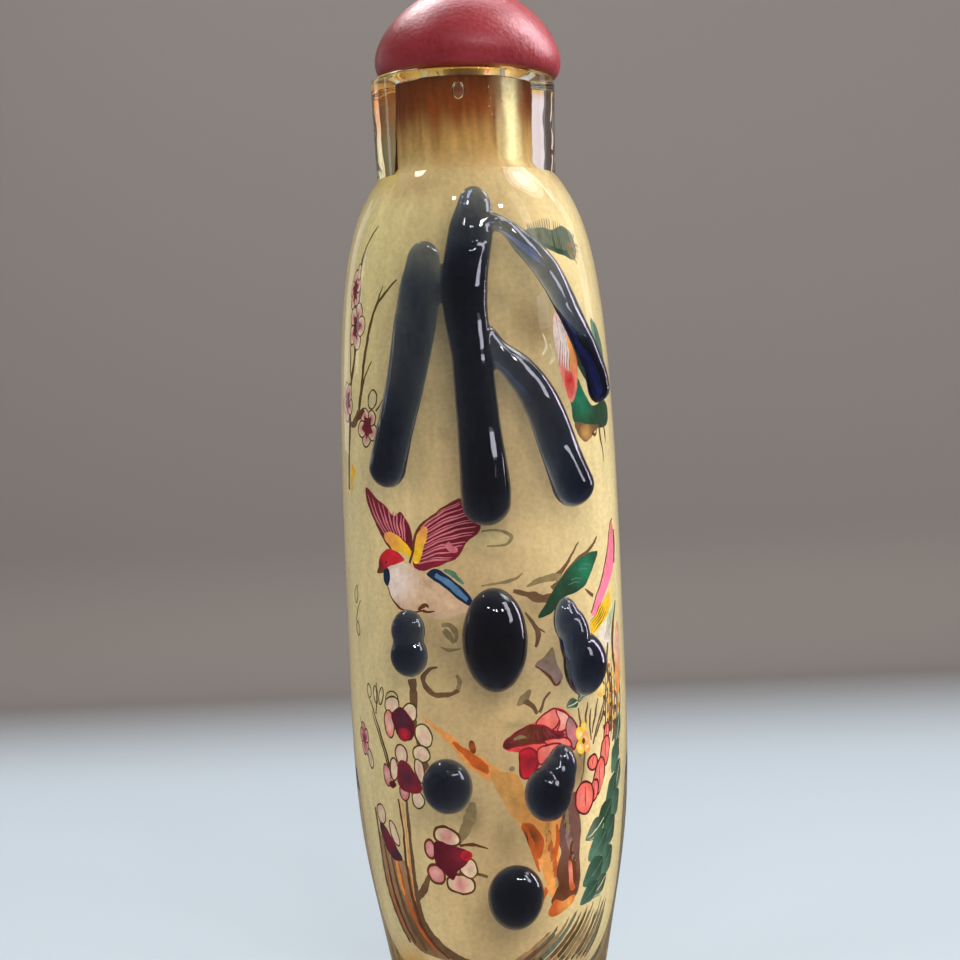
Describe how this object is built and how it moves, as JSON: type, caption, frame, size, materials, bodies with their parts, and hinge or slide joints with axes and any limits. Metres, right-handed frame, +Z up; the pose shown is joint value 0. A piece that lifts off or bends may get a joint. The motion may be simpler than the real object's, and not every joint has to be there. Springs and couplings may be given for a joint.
{
  "type": "snuff bottle",
  "caption": "Slim hollow glass snuff bottle with a round neck, applied dark blue glass vine and grapes, and a domed stopper with its cork.",
  "frame": {"origin": "centre of the foot's underside", "axes": "+Z up the bottle, -Y towards the front with the larger vine"},
  "size_m": [0.025, 0.0264, 0.0934],
  "materials": {
    "clear_glass": "polished clear glass with a faint straw tint",
    "blue_glass": "polished deep blue glass, paler where thin",
    "coral_red": "smooth satin, slightly rubbed",
    "cork": "matt cork",
    "paint": "thin matt paint on the inside wall: a yellow ground with blossoms, birds, leaves and a rock"
  },
  "bodies": {
    "root": {"bottle": "clear_glass", "stopper": "coral_red", "cork": "cork", "vine_front": "blue_glass", "vine_back": "blue_glass", "grape_front_1": "blue_glass", "grape_front_2": "blue_glass", "grape_front_3": "blue_glass", "grape_front_4": "blue_glass", "grape_front_5": "blue_glass", "grape_front_6": "blue_glass", "grape_back_1": "blue_glass", "grape_back_2": "blue_glass", "grape_back_3": "blue_glass", "grape_back_4": "blue_glass", "grape_back_5": "blue_glass", "grape_back_6": "blue_glass"}
  },
  "joints": []
}
